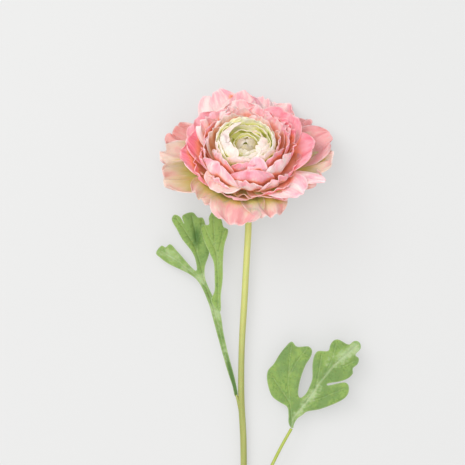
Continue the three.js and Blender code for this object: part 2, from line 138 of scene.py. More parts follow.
# Rings of the heart; swell is how far a petal's middle line bulges
HEART_FORM = dict(wrap=1.0, wave=0.25, tuck=-0.5, frill=0.5)
HEART_RINGS = [
    dict(petals=7, turn=48, root=(5.4, 7.6), edge=(15.2, 28.8), angles=(36, 112), half_width=9.8,
         blush=0.3, front_blush=0.9),
    dict(petals=6, turn=20, root=(5.2, 8.0), edge=(13.8, 28.4), angles=(40, 120), half_width=10.0,
         blush=0.3, front_blush=0.5),
    dict(petals=5, turn=115, root=(5.2, 8.6), edge=(11.2, 27.0), angles=(40, 138), half_width=10.4,
         blush=0.6),
    dict(petals=4, turn=200, root=(5.0, 9.0), edge=(8.6, 25.2), angles=(40, 146), half_width=11.5,
         blush=1.0),
    dict(petals=3, turn=75, root=(5.0, 12.0), edge=(6.7, 25.4), angles=(68, 116), half_width=8.0,
         blush=0.3),
    dict(petals=2, turn=250, root=(6.6, 13.0), edge=(4.8, 24.0), angles=(80, 146), half_width=7.2,
         blush=0.5, green=0.9),
    dict(petals=3, turn=25, root=(6.6, 14.0), edge=(0.6, 23.8), angles=(76, 186), half_width=9.6,
         wrap=0.9, blush=0.3, green=2.3, swell=0.5),
]

# Petals that fold over the heart; they are level, so they keep their height round the bloom's axis
FOLD_FORM = dict(HEART_FORM, root=(5.2, 12.0), swell=0.6, green=0.5, level=True)
HEART_FOLDS = [
    dict(azimuth=160, edge=(8.6, 28.4), angles=(30, 184), half_width=14.0, blush=0.88),
    dict(azimuth=206, edge=(9.0, 28.9), angles=(30, 186), half_width=11.5, blush=0.9, swell=0.58,
         green=0.6),
    dict(azimuth=-24, root=(5.0, 12.0), edge=(6.4, 26.4), angles=(35, 188), half_width=6.2,
         blush=0.8),
]

# A small round petal that bulges before the heart
FRONT_FOLDS = [
    dict(azimuth=-73, root=(6.0, 4.0), edge=(15.6, 29.4), angles=(28, 160), half_width=5.8,
         swell=0.48, wrap=0.9, wave=0.1, tuck=-1.0, blush=0.3, frill=0.0, notch=0.0),
]

# Loose petals that lie over the outer ones at the lower right and left
LOOSE_PETALS = [
    dict(azimuth=-43, root=(7.0, 1.0), edge=(41.0, 14.0), angles=(19, 6), half_width=12.0,
         wrap=0.45, wave=0.4, tuck=-1.0, blush=0.45, frill=0.3, notch=0.0),
    dict(azimuth=-22, root=(7.0, 1.0), edge=(47.0, 13.0), angles=(18, 12), half_width=5.0,
         wrap=0.6, wave=0.4, tuck=-0.5, blush=0.5, frill=0.4, notch=0.0),
    dict(azimuth=-122, root=(6.8, 1.4), edge=(32.4, 14.9), angles=(36, -20), half_width=11.0,
         wrap=0.5, wave=0.4, tuck=-0.8, blush=0.35, green=0.8, frill=0.4),
]

SEPALS = [
    dict(petals=5, turn=20, root=(3.6, -4.6), edge=(14.0, -7.6), angles=(8, -50), half_width=4.6,
         wrap=0.5, wave=0.3, tuck=0.0, blush=0.0, frill=0.5),
]
SEPAL_THICKNESS = 0.6

# Each group's first number; a petal's draws follow from its number
FIRST = dict(heart=1, pink=101, outer=200, sepals=301, ruffled=401, folds=500, front=600, loose=620)

# Turned forms about the bloom's axis, from (radius, height) pairs
CUP = [
    (0, -3), (5, -3), (9, -1.8), (13, 0.2), (14.5, 2.4), (14.2, 4.2), (12, 5.0), (8, 3.6), (0, 3.2),
]
HEART_CORE = [
    (0, 3.6), (4.6, 3.6), (6.2, 6), (9.6, 12), (10.4, 16), (8.6, 17.6), (5.2, 17.8), (4.2, 19.6),
    (2.6, 20.8), (1.0, 21.2), (0, 21.0),
]
SEAT = [(0, -9.2), (1.9, -8.8), (3.0, -7.2), (4.6, -5.6), (5.2, -4.2), (4.8, -3.3), (0, -3.2)]
CORNER_CUTS = 2
CUP_SIDES = 48
CORE_SIDES = 40

# What the points of the turned forms among the petals carry in place of a petal's values; by their
# closed share the skin gives them the petals' painted shade and glow
CORE_VALUES = dict(along=0.0, across=0.0, rim=0.0, brink=9.0, closed=1.0, outside=0.0, tone=0.0,
                   blush=0.0, green=0.0)
CUP_VALUES = dict(CORE_VALUES, closed=0.6, green=1.0)

# Middle lines of the round stalks beside the bloom's root: x, y, height, radius
STEM_RADIUS = 1.8
STEM_LENGTH = 257.4
STEM_LINE = [
    (0, -5.0, 13.2, 1.8), (0.4, -10.5, 9.0, 1.8), (0.9, -18, 6.9, 1.8), (1.4, -28.1, 6.6, 1.85),
    (0.4, -48.4, 6.4, 1.85), (-0.8, -70.4, 6.0, 1.8), (-2.3, -97.9, 5.5, 1.75),
    (-2.5, -125.4, 4.9, 1.75), (-1.4, -147.4, 4.4, 1.8), (-1.1, -175, 3.8, 1.8),
    (-1.1, -203, 3.1, 1.85), (-1.1, -230, 2.5, 1.8), (-1.1, -STEM_LENGTH, STEM_RADIUS, STEM_RADIUS),
]
BRANCH_LINE = [
    (-2.0, -136.5, 4.7, 1.6), (-2.8, -132.0, 4.8, 1.3), (-3.9, -128.0, 4.9, 0.95),
    (-5.3, -123.4, 4.9, 0.6),
]
STALK_LINE = [
    (-1.1, -211.0, 3.0, 1.3), (2.0, -193.0, 4.2, 1.15), (7.2, -178.0, 5.6, 1.0),
    (13.9, -163.5, 6.9, 0.9), (19.6, -152.0, 7.9, 0.85), (25.2, -141.95, 8.6, 0.8),
]

# The stalks' slow swelling and thinning, their ribs, and their cut ends
SWELLING = 0.02
SWELLING_LENGTH = 9
RIBS = 7
PITH_SHARE = 0.72
PITH_STEP = 0.02
PITH_DISH = 0.25

# Leaf outlines as seen from above, from the stalk's end clockwise
LEFT_OUTLINE = [
    (-5.9, -124.4), (-7.4, -118.6), (-9.7, -111.8), (-12.0, -104.0), (-15.5, -91.3),
    (-18.2, -81.3), (-20.6, -72.7), (-26.0, -61.1), (-30.6, -56.8), (-43.0, -50.6),
    (-47.3, -47.5), (-49.9, -44.8), (-46.6, -40.5),
    (-44.6, -41.5), (-42.1, -39.7), (-37.7, -44.0), (-27.5, -54.5), (-27.9, -48.7), (-29.9, -44.0),
    (-35.3, -37.0), (-38.0, -32.0), (-41.1, -25.8), (-39.6, -23.4), (-36.5, -24.6), (-34.2, -28.5),
    (-35.3, -24.2), (-29.5, -22.1), (-26.4, -25.0), (-24.1, -25.0), (-22.5, -28.5), (-21.0, -37.4),
    (-20.3, -44.4), (-22.7, -52.5), (-22.5, -58.7), (-18.6, -68.1), (-14.3, -77.4), (-12.4, -89.0),
    (-9.6, -101.4), (-7.0, -111.0), (-5.4, -118.0), (-4.7, -123.8),
]
LEFT_LOBE_OUTLINE = [
    (-19.3, -71.1), (-17.4, -65.7), (-17.3, -58.7), (-17.8, -50.1), (-20.2, -44.3), (-23.2, -37.8),
    (-24.8, -29.2), (-20.5, -28.9), (-20.5, -25.0), (-17.8, -21.2), (-15.8, -25.0), (-13.5, -26.2),
    (-12.4, -30.1), (-9.9, -31.7), (-12.0, -40.9), (-12.7, -50.1), (-12.8, -58.7), (-13.9, -68.0),
    (-14.3, -77.2),
]
RIGHT_OUTLINE = [
    (24.8, -141.3), (23.6, -138.6), (23.6, -134.5), (22.8, -129.9), (19.0, -127.5), (14.9, -124.5),
    (13.0, -120.7), (11.6, -113.0), (12.5, -109.3), (15.2, -106.4), (18.1, -101.6), (21.5, -97.1),
    (25.4, -93.7), (28.1, -96.4), (34.9, -96.4), (36.6, -98.6), (35.8, -102.1), (32.9, -106.9),
    (29.6, -116.9), (29.1, -123.5), (30.1, -124.8), (32.9, -122.8), (35.3, -118.3), (36.7, -114.0),
    (36.8, -106.4), (37.7, -101.6), (39.6, -99.0), (45.7, -98.6), (46.6, -95.6), (48.5, -93.0),
    (50.9, -92.4), (57.0, -95.2), (59.3, -93.5), (61.4, -93.2), (63.1, -94.5), (63.4, -97.5),
    (60.5, -101.1), (62.4, -102.8), (61.8, -105.9), (59.1, -108.5), (59.1, -111.2),
    (57.0, -113.6), (52.6, -115.5),
    (44.8, -117.1), (44.8, -117.8), (55.0, -116.2), (56.7, -117.8), (56.7, -121.7), (54.5, -125.0),
    (41.6, -130.9), (33.4, -132.7), (31.3, -134.4), (28.7, -136.2), (26.8, -139.2), (26.0, -141.9),
]

# Main veins, each a line from the stalk into a lobe
LEFT_VEINS = [
    [(-5.3, -124), (-9.4, -108), (-13.6, -92), (-17.4, -76), (-21.5, -64), (-28, -57), (-37, -49.5),
     (-47, -43.5)],
    [(-17.4, -76), (-22.5, -61), (-25.2, -50), (-28.5, -40), (-35, -30), (-38.5, -25)],
    [(-26.6, -45), (-27.5, -35), (-29.8, -24)],
    [(-27.0, -39), (-24.5, -32), (-24.2, -26)],
]
LEFT_LOBE_VEINS = [
    [(-15.4, -75), (-15.2, -62), (-15.6, -50), (-17.2, -38), (-18.0, -24)],
    [(-16.2, -44), (-20, -36), (-22.6, -30)],
    [(-15.8, -47), (-13.5, -38), (-12.2, -32)],
]
RIGHT_VEINS = [
    [(25.3, -141.5), (26.2, -136), (30.5, -131), (35.5, -124.5), (41.5, -115.5), (48.5, -107),
     (55, -101.5), (61, -96)],
    [(25.6, -137.5), (24.6, -128), (23.4, -117), (24.0, -106), (25.2, -96)],
    [(24.6, -128), (19.5, -120), (14.5, -113)],
    [(23.6, -113), (28, -105), (33, -98.5)],
    [(33, -128), (43, -124.6), (54.5, -119.5)],
    [(38.5, -120), (40.5, -110), (42, -100.5)],
    [(44, -112), (48, -103), (50, -94.5)],
    [(47.5, -108), (54, -107.5), (60, -104.5)],
]


# Small maths

# The traits that draws set in a petal
(AZIMUTH, REACH, HEIGHT, CLOSING, WIDTH, PHASE, TONE, CURL, NOTCH_PLACE, NOTCH_DEPTH,
 BLUSH) = range(1, 12)


def draw(number, trait):
    """A repeatable draw between -1 and 1 for a petal's number and the trait that it sets."""
    x = math.sin(number * 12.9898 + trait * 78.233) * 43758.5453
    return 2 * (x - math.floor(x)) - 1


def from_bloom(p, q, h):
    """Points of the model's frame for places right, up the face, and along the bloom's axis."""
    return (BLOOM_AT + np.multiply.outer(p, P_DIR) + np.multiply.outer(q, Q_DIR)
            + np.multiply.outer(h, H_DIR))


def from_above(x, y, z):
    """Points of the model's frame for places beside the bloom's root, z over the surface."""
    return np.stack([BLOOM_AT[0] + x, BLOOM_AT[1] + y, z], axis=-1)


def smooth(x, low, high):
    """0 below low, 1 above high, and smooth between."""
    t = np.clip((x - low) / (high - low), 0, 1)
    return t * t * (3 - 2 * t)


def mix(a, b, t):
    """From a to b as t goes from 0 to 1."""
    return a + (b - a) * t


def near(distance, reach):
    """1 at no distance, and less farther off, over the reach."""
    return np.exp(-((distance / reach)**2))


def both_sides(values):
    """Values of a sheet's middle for its upper and then its lower points."""
    return np.tile(values.ravel(), 2)


def length_along(line):
    """How far along a line each of its points lies."""
    return np.concatenate([[0], np.cumsum(np.linalg.norm(np.diff(line, axis=0), axis=1))])


# Meshes

def placed(name, data):
    """Adds an object with the given mesh, light or camera to the scene."""
    made = bpy.data.objects.new(name, data)
    bpy.context.scene.collection.objects.link(made)
    return made


class Pile:
    """Gathers closed surfaces, and the values that their points carry, into one mesh."""

    def __init__(self):
        self.points = []
        self.faces = []
        self.values = {}
        self.count = 0

    def add(self, points, faces, **values):
        """Adds a closed surface; a value is one number, or one for each of its points."""
        self.faces.extend([[index + self.count for index in face] for face in faces])
        self.points.append(points)
        for name, value in values.items():
            self.values.setdefault(name, []).append(np.broadcast_to(value, (len(points),)))
        self.count += len(points)

    def make(self, name, material):
        """Makes the object from what was added."""
        mesh = bpy.data.meshes.new(name)
        mesh.from_pydata((np.concatenate(self.points) * MM).tolist(), [], self.faces)
        for key, parts in self.values.items():
            attribute = mesh.attributes.new(key, "FLOAT", "POINT")
            attribute.data.foreach_set("value", np.concatenate(parts).astype(np.float32))
        mesh.shade_smooth()
        mesh.set_sharp_from_angle(angle=SHARP_ANGLE)
        mesh.materials.append(material)
        return placed(name, mesh)


def hand_over(piece, node):
    """Lets a piece stand for a node of the model, on the model's one body."""
    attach(piece, BODY)
    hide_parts(node)


def grid_faces(rows, columns):
    """Faces of a grid of points."""
    corners = (j * columns + i for j in range(rows - 1) for i in range(columns - 1))
    return [[a, a + 1, a + columns + 1, a + columns] for a in corners]


def sheet_faces(rows, columns):
    """Faces of a closed thin sheet whose upper grid of points comes first and lower grid second."""
    under = rows * columns
    faces = []
    for quad in grid_faces(rows, columns):
        faces += [quad, [under + index for index in reversed(quad)]]
    grid = np.arange(under).reshape(rows, columns)
    rim = np.concatenate([grid[0], grid[1:, -1], grid[-1, -2::-1], grid[-2:0:-1, 0]]).tolist()
    return faces + [[b, a, under + a, under + b] for a, b in zip(rim, rim[1:] + rim[:1])]


def straight_out(middle):
    """Directions square to a grid of points."""
    normal = np.cross(np.gradient(middle, axis=1), np.gradient(middle, axis=0))
    return normal / (np.linalg.norm(normal, axis=-1, keepdims=True) + TINY)


def thickened(middle, thickness):
    """Upper and lower points of a sheet about a grid of middle points."""
    offset = straight_out(middle) * np.asarray(thickness)[..., None] / 2
    return np.concatenate([(middle + offset).reshape(-1, 3), (middle - offset).reshape(-1, 3)])


def ring_turns(sides):
    """Angles of the points of a ring."""
    return np.arange(sides) * 2 * math.pi / sides


def tube_faces(rings, sides):
    """Faces between rings of points, from each to the next."""
    faces = []
    for j in range(rings - 1):
        for i in range(sides):
            a, b = j * sides + i, j * sides + (i + 1) % sides
            faces.append([a, b, b + sides, a + sides])
    return faces


def rounded(profile, times):
    """The profile with its corners cut, times over."""
    line = np.array(profile, dtype=float)
    for _ in range(times):
        low = line[:-1] * 0.75 + line[1:] * 0.25
        high = line[:-1] * 0.25 + line[1:] * 0.75
        middle = np.stack([low, high], axis=1).reshape(-1, 2)
        line = np.concatenate([line[:1], middle, line[-1:]])
    return line


def add_turned(pile, profile, sides, **values):
    """Adds a form turned about the bloom's axis, with the profile's corners cut."""
    line = rounded(profile, CORNER_CUTS)
    turns = ring_turns(sides)
    points = [from_bloom(r * np.cos(turns), r * np.sin(turns), np.full(sides, h)) for r, h in line]
    pile.add(np.concatenate(points), tube_faces(len(line), sides), **values)


def smooth_line(stations, steps):
    """Points along a smooth line through the stations, with as many steps between each two."""
    line = np.array(stations, dtype=float)
    ends = np.concatenate([[2 * line[0] - line[1]], line, [2 * line[-1] - line[-2]]])
    out = []
    for p0, p1, p2, p3 in zip(ends, ends[1:], ends[2:], ends[3:]):
        pairs = ((p0, p1), (p1, p2), (p2, p3))
        d0, d1, d2 = (max(math.sqrt(np.linalg.norm(b - a)), LEAST_STEP) for a, b in pairs)
        m1 = d1 * ((p1 - p0) / d0 - (p2 - p0) / (d0 + d1) + (p2 - p1) / d1)
        m2 = d1 * ((p2 - p1) / d1 - (p3 - p1) / (d1 + d2) + (p3 - p2) / d2)
        for t in np.arange(steps) / steps:
            out.append((2 * t**3 - 3 * t**2 + 1) * p1 + (t**3 - 2 * t**2 + t) * m1
                       + (3 * t**2 - 2 * t**3) * p2 + (t**3 - t**2) * m2)
    out.append(line[-1])
    return np.array(out)


def add_stalk(pile, stations, steps, sides, ribs=0.0, fresh=0.0):
    """Adds a round stalk along a smooth line, with faint ribs of the given depth along it.

    Fresh, from 0 to 1, says how bright its green is.
    """
    line = smooth_line(stations, steps)
    centre = from_above(line[:, 0], line[:, 1], line[:, 2])
    ahead = np.gradient(centre, axis=0)
    ahead /= np.linalg.norm(ahead, axis=1, keepdims=True)
    sideways = np.cross(ahead, [0, 0, 1.0])
    sideways /= np.linalg.norm(sideways, axis=1, keepdims=True)
    upwards = np.cross(sideways, ahead)
    turns = ring_turns(sides)
    swelling = 1 + SWELLING * np.sin(length_along(centre) / SWELLING_LENGTH)
    radius = (line[:, 3] * swelling)[:, None] - ribs * (1 - np.cos(RIBS * turns)) / 2
    radius[-1] = np.minimum(radius[-1], line[-1, 3])
    spokes = (np.cos(turns)[:, None] * sideways[:, None]
              + np.sin(turns)[:, None] * upwards[:, None])
    rings = centre[:, None] + radius[..., None] * spokes
    total = len(rings) * sides
    points, cut = [rings.reshape(-1, 3)], [np.zeros(total)]
    faces = tube_faces(len(rings), sides)
    # The cut ends are dished a little, with a ring of skin round the pith.
    for j, outwards in ((0, -1), (len(rings) - 1, 1)):
        inner = centre[j] + PITH_SHARE * (rings[j] - centre[j]) + outwards * PITH_STEP * ahead[j]
        middle = centre[j] - outwards * PITH_DISH * ahead[j]
        points += [inner, middle[None]]
        cut += [np.ones(sides + 1)]
        for i in range(sides):
            k = (i + 1) % sides
            quad = [j * sides + i, total + i, total + k, j * sides + k]
            tip = [total + i, total + sides, total + k]
            faces += [face[::-outwards] for face in (quad, tip)]
        total += sides + 1
    pile.add(np.concatenate(points), faces, cut=np.concatenate(cut), fresh=fresh)


# Petals

# Where along a petal it is widest, and its foot's share of that width
WIDEST = 0.62
ROOT_WIDTH = 0.34

# How far a middle line bulges unless its petal has a swell, the half width that the waves are
# sized for, and the least radius about the bloom's axis that a petal bends round
SWELL = 0.38
USUAL_HALF_WIDTH = 12
LEAST_RADIUS = 4

# A petal's thickness at its foot and its edge, as shares of the given one; the length of its middle
# line, as a share of the straight way; and the power that crowds its grid towards the edge
FOOT_THICK = 1.2
EDGE_THICK = 0.6
ARC_SHARE = 1.1
CROWDING = 0.85

# How far draws sway the petals of a ring; the millimetres of reach and height and the degrees of
# closing are those of a petal with its edge this far from the axis
AZIMUTH_SWAY = 7
REACH_SWAY = 2.4
HEIGHT_SWAY = 2.2
CLOSING_SWAY = 12
WIDTH_SWAY = 0.12
CURL_SWAY = 0.8
BLUSH_SWAY = 0.32
SWAY_RADIUS = 40
MOST_BLUSH = 1.2

# Steps of the petals' grids, across and along
PINK_GRID = (30, 22)
HEART_GRID = (24, 18)
SEPAL_GRID = (16, 16)

# A petal's points each way, and the looks out from each of them, that find how closed in it is,
# which sets its painted shade and glow: how many looks, how far they start from it and reach, and
# the turn from one to the next
COARSE = 9
LOOKS = 16
LOOK_FROM = 0.7
SIGHT = 14.0
GOLDEN_TURN = math.pi * (3 - math.sqrt(5))


def profile_points(petal, t):
    """Radius, height and direction along a petal's middle line."""
    (r0, h0), (r1, h1) = petal["root"], petal["edge"]
    reach = petal.get("swell", SWELL) * math.hypot(r1 - r0, h1 - h0)
    a0, a1 = (math.radians(angle) for angle in petal["angles"])
    corners = np.array([
        (r0, h0),
        (r0 + reach * math.cos(a0), h0 + reach * math.sin(a0)),
        (r1 - reach * math.cos(a1), h1 - reach * math.sin(a1)),
        (r1, h1),
    ])
    t = t[..., None]
    at = ((1 - t)**3 * corners[0] + 3 * t * (1 - t)**2 * corners[1]
          + 3 * t**2 * (1 - t) * corners[2] + t**3 * corners[3])
    out = ((1 - t)**2 * (corners[1] - corners[0]) + 2 * t * (1 - t) * (corners[2] - corners[1])
           + t**2 * (corners[3] - corners[2]))
    out /= np.linalg.norm(out, axis=-1, keepdims=True)
    return at, out


def half_width_at(petal, v):
    """Half the petal's width, which rounds off past the widest place."""
    below = mix(ROOT_WIDTH, 1, np.sin(np.clip(v / WIDEST, 0, 1) * math.pi / 2))
    past = np.clip((v - WIDEST) / (1 - WIDEST), 0, 1)
    return petal["half_width"] * np.where(v < WIDEST, below, (1 - (0.9 * past)**2.5)**0.4)


def petal_middle(petal, side, v, ruffle):
    """The middle surface of a petal, with the soft waves and creases of a real one.

    Side goes from -1 to 1 across it and v from 0 to 1 along it; ruffle is how strong its fine
    waves are.
    """
    number, phase = petal["number"], petal["phase"]
    size = petal["half_width"] / USUAL_HALF_WIDTH
    scallop = 0.022 * np.sin(3.4 * side + phase) + 0.010 * np.sin(8.1 * side + 2.3 * phase) - 0.02
    notch = -0.05 * petal["notch"] * near(side - 0.4 * draw(number, NOTCH_PLACE), 0.13)
    along = v * (1 - 0.05 * side**2 * v**4 + (ruffle * scallop + notch) * v**5)
    at, out = profile_points(petal, along)
    span = side * half_width_at(petal, v)
    long_waves = petal["wave"] * v**2 * np.sin(2.6 * math.pi * side + phase)
    frills = ruffle * size * v**4 * (0.3 * np.sin(7.5 * side + 3 * phase + 2 * v)
                                     + 0.1 * np.sin(15 * side - 2 * phase + 3 * v))
    dents = ruffle * 0.55 * size * v * np.sin(0.33 * span + 5 * phase) * np.sin(6 * v + 2 * phase)
    crease = 0.4 * size * near(side, 0.16) * v * (1.1 - v)
    curl = petal["curl"] * size * np.clip((v - 0.74) / 0.26, 0, 1)**2
    rise = long_waves + frills + dents - crease + petal["tuck"] * side * v + curl
    turn = math.radians(petal["azimuth"])
    radius = np.maximum(at[..., 0], LEAST_RADIUS)
    tangential = 0.0
    if petal.get("level"):
        turn = turn + span / radius
    else:
        bend = petal["wrap"] / radius
        rise = rise + (1 - np.cos(bend * span)) / bend
        tangential = np.sin(bend * span) / bend
    r = at[..., 0] - out[..., 1] * rise
    h = at[..., 1] + out[..., 0] * rise
    p = r * np.cos(turn) - tangential * np.sin(turn)
    q = r * np.sin(turn) + tangential * np.cos(turn)
    points = from_bloom(p, q, h)
    points[..., 2] = np.maximum(points[..., 2], petal.get("bed", OVERLAID) + PRESSED_THICK / 2)
    return points


def coarse_grid():
    """Places v and side of the few points that stand for a petal in how closed in the bloom is."""
    return np.meshgrid(np.linspace(0, 1, COARSE), np.linspace(-1, 1, COARSE), indexing="ij")


def petal_tree(petals):
    """A tree of the petals' middle surfaces, for finding what lies in a direction."""
    v, side = coarse_grid()
    points, faces = [], []
    for petal in petals:
        faces += [[len(points) + index for index in face] for face in grid_faces(COARSE, COARSE)]
        points += [Vector(point) for point in petal_middle(petal, side, v, 0.0).reshape(-1, 3)]
    return BVHTree.FromPolygons(points, faces)


def closed_in(petal, tree):
    """How closed in a petal's upper and lower sides are, from 0 to 1, on its coarse grid."""
    v, side = coarse_grid()
    middle = petal_middle(petal, side, v, 0.0)
    out = straight_out(middle)
    sides = []
    for sign in (1, -1):
        shares = []
        for point, normal in zip(middle.reshape(-1, 3), sign * out.reshape(-1, 3)):
            ahead = Vector(normal)
            sideways = ahead.orthogonal().normalized()
            start = Vector(point) + LOOK_FROM * ahead
            met = 0
            for k in range(LOOKS):
                lean = math.sqrt((k + 0.5) / LOOKS)
                turn = k * GOLDEN_TURN
                aside = sideways * math.cos(turn) + ahead.cross(sideways) * math.sin(turn)
                look = ahead * math.sqrt(1 - lean**2) + aside * lean
                met += tree.ray_cast(start, look, SIGHT)[0] is not None
            shares.append(met / LOOKS)
        sides.append(np.array(shares).reshape(v.shape))
    return sides


def spread(values, v, side):
    """Values of a petal's coarse grid at finer places of it."""
    j, i = v * (COARSE - 1), (side + 1) / 2 * (COARSE - 1)
    row, column = (np.minimum(part.astype(int), COARSE - 2) for part in (j, i))
    low = mix(values[row, column], values[row, column + 1], i - column)
    high = mix(values[row + 1, column], values[row + 1, column + 1], i - column)
    return mix(low, high, j - row)


def add_petal(pile, petal, grid, thickness, ruffle, tree=None):
    """Adds a petal's closed thin sheet, finer towards its edge, with the values its skin needs."""
    across, down = grid
    v = np.linspace(0, 1, down + 1)**CROWDING
    v, side = np.meshgrid(v, np.linspace(-1, 1, across + 1), indexing="ij")
    middle = petal_middle(petal, side, v, ruffle * petal["frill"])
    length = ARC_SHARE * math.dist(petal["root"], petal["edge"])
    to_side = (1 - np.abs(side)) * half_width_at(petal, v)
    closed = [np.zeros((COARSE, COARSE))] * 2 if tree is None else closed_in(petal, tree)
    pile.add(
        thickened(middle, thickness * mix(FOOT_THICK, EDGE_THICK, v)),
        sheet_faces(down + 1, across + 1),
        along=both_sides(v),
        across=both_sides(side * petal["half_width"]),
        rim=both_sides(np.maximum(v, 0.86 * np.abs(side) * smooth(v, 0.15, 0.7))),
        brink=both_sides(np.minimum((1 - v) * length, to_side)),
        # How closed in each point is, which sets the skin's painted shade and glow.
        closed=np.concatenate([spread(part, v, side).ravel() for part in closed]),
        outside=np.repeat([1.0, 0.0], v.size),
        tone=draw(petal["number"], TONE),
        blush=petal["blush"],
        green=petal.get("green", 0.0),
    )


def ring_petals(rings, first, **form):
    """Rings of petals with small differences from petal to petal, numbered from first."""
    petals = []
    for ring in rings:
        for i in range(ring["petals"]):
            number = first + len(petals)
            azimuth = (ring["turn"] + 360 / ring["petals"] * i
                       + AZIMUTH_SWAY * draw(number, AZIMUTH))
            fore = max(0, -math.sin(math.radians(azimuth)))**0.6
            aside = abs(math.cos(math.radians(azimuth)))
            (r, h), (foot_slope, edge_slope) = ring["edge"], ring["angles"]
            wider, taller, steeper, closer = ring.get("front", (0, 0, 0, 0))
            loose = r / SWAY_RADIUS
            blush = (ring["blush"] + fore * ring.get("front_blush", 0)
                     + aside * ring.get("side_blush", 0) + BLUSH_SWAY * draw(number, BLUSH))
            petals.append({
                **form, **ring,
                "number": number,
                "azimuth": azimuth,
                "edge": (r + fore * wider + REACH_SWAY * loose * draw(number, REACH),
                         h + fore * taller + HEIGHT_SWAY * loose * draw(number, HEIGHT)),
                "angles": (
                    foot_slope + fore * steeper,
                    edge_slope + fore * closer + CLOSING_SWAY * loose * draw(number, CLOSING)),
                "half_width": ring["half_width"] * (1 + WIDTH_SWAY * draw(number, WIDTH)),
                "phase": math.pi * draw(number, PHASE),
                "curl": CURL_SWAY * draw(number, CURL),
                "notch": max(0, draw(number, NOTCH_DEPTH)),
                "green": ring.get("green", 0) + fore * ring.get("front_green", 0),
                "blush": min(MOST_BLUSH, max(0, blush)),
            })
    return petals


def single_petals(petals, first, **form):
    """Petals of which each has its own place, numbered from first."""
    return [{
        "number": number,
        "phase": math.pi * draw(number, PHASE),
        "curl": 1.2 * draw(number, CURL),
        "notch": max(0, 0.3 + draw(number, NOTCH_DEPTH)),
        **form, **petal,
    } for number, petal in enumerate(petals, first)]


def heart_petals():
    """All petals of the heart."""
    return (ring_petals(HEART_RINGS, FIRST["heart"], **HEART_FORM)
            + single_petals(HEART_FOLDS, FIRST["folds"], **FOLD_FORM))


def pink_petals():
    """The petals of each pink piece, by its name."""
    rings = ring_petals(PINK_RINGS, FIRST["pink"])
    inner = sum(ring["petals"] for ring in PINK_RINGS[:INNER_RINGS])
    return {
        "inner_pink_petals": rings[:inner] + single_petals(FRONT_FOLDS, FIRST["front"]),
        "ruffled_petals": ring_petals(RUFFLED_RINGS, FIRST["ruffled"]),
        "middle_pink_petals": rings[inner:] + single_petals(LOOSE_PETALS, FIRST["loose"]),
        "outer_petals": single_petals(OUTER_PETALS, FIRST["outer"], **OUTER_FORM),
    }


def bloom_tree():
    """A tree of all petals of the bloom."""
    return petal_tree(sum(pink_petals().values(), heart_petals()))


# Leaves

# Middle of the fold in the left leaf's broadest lobe
FOLD_AT = (-27.4, -36.0)

# A blade's rows of points and the free strip inside its outline, as shares of the spacing
ROW_SHARE = 0.87
FREE_SHARE = 0.6

# A blade's relief: the pleats that its veins lie in, the swelling between them, its thin rim, and
# how deep it lies under its height
PLEAT_DEPTH = 0.35
PLEAT_WIDTH = 0.9
SWELL_HEIGHT = 0.45
RIM_WIDTH = 1.2
RIM_THICK = 0.5
LOWERED = 0.3

# How the outline is filled: with triangles inside it only, joining points closer than this
FILL_INSIDE = 1
FILL_JOINS = 1e-5

# Steps between two points of an outline where it is smoothed
OUTLINE_STEPS = 12


def folded(x, y, wide, long):
    """1 in the middle of the left leaf's fold, and less farther off."""
    return np.exp(-(((x - FOLD_AT[0]) / wide)**2) - ((y - FOLD_AT[1]) / long)**2)


def left_height(x, y):
    """The left leaf's height, which rises to the lobes, droops beside the vein and ripples."""
    beside = (x + 5.5 + 0.25 * (y + 123)) * 0.97
    droop = 0.008 * np.minimum(0, beside)**2
    ripple = 0.5 * np.sin(0.33 * x) * np.sin(0.21 * y) * smooth(y, -80, -50)
    fold = 1.6 * folded(x, y, 3, 9)
    return mix(5.0, 10.5, smooth(y, -122, -72)) - droop + ripple - fold


def left_lobe_height(x, y):
    """The height of the left leaf's third lobe, which lies over the others."""
    lift = mix(0.3, 4.6, smooth(y, -76, -50))
    return left_height(x, y) + lift - 0.03 * (x + 16)**2 * smooth(y, -60, -40)


def right_height(x, y):
    """The right leaf's height, which rises from the stalk, arches and ripples."""
    out = np.hypot(x - 25.3, y + 141.6)
    beside = 0.77 * (x - 25.3) - 0.64 * (y + 141.6)
    ripple = 0.6 * np.sin(0.3 * x + 1) * np.sin(0.27 * y) * smooth(out, 10, 30)
    return mix(8.6, 12.4, smooth(out, 0, 45)) - 0.0035 * beside**2 + ripple


def closed_curve(outline, spacing):
    """The outline smoothed through its points, at even spacing."""
    ring = outline[-2:] + outline + outline[:3]
    line = smooth_line(ring, OUTLINE_STEPS)[2 * OUTLINE_STEPS:-2 * OUTLINE_STEPS]
    length = length_along(line)
    at = np.linspace(0, length[-1], int(length[-1] / spacing))[:-1]
    return np.stack([np.interp(at, length, line[:, k]) for k in (0, 1)], axis=1)


def far_from(points, lines):
    """The distance of each point from the nearest of the lines."""
    nearest = np.full(len(points), np.inf)
    for line in lines:
        line = np.asarray(line, dtype=float)
        for a, b in zip(line, line[1:]):
            along = np.clip((points - a) @ (b - a) / ((b - a) @ (b - a)), 0, 1)
            off = np.linalg.norm(points - a - along[:, None] * (b - a), axis=1)
            nearest = np.minimum(nearest, off)
    return nearest


def within(points, ring):
    """Which points lie inside a closed ring."""
    inside = np.zeros(len(points), dtype=bool)
    for (x0, y0), (x1, y1) in zip(ring, np.roll(ring, -1, axis=0)):
        crosses = (y0 > points[:, 1]) != (y1 > points[:, 1])
        at = x0 + (points[:, 1] - y0) * (x1 - x0) / (y1 - y0 + TINY)
        inside ^= crosses & (points[:, 0] < at)
    return inside


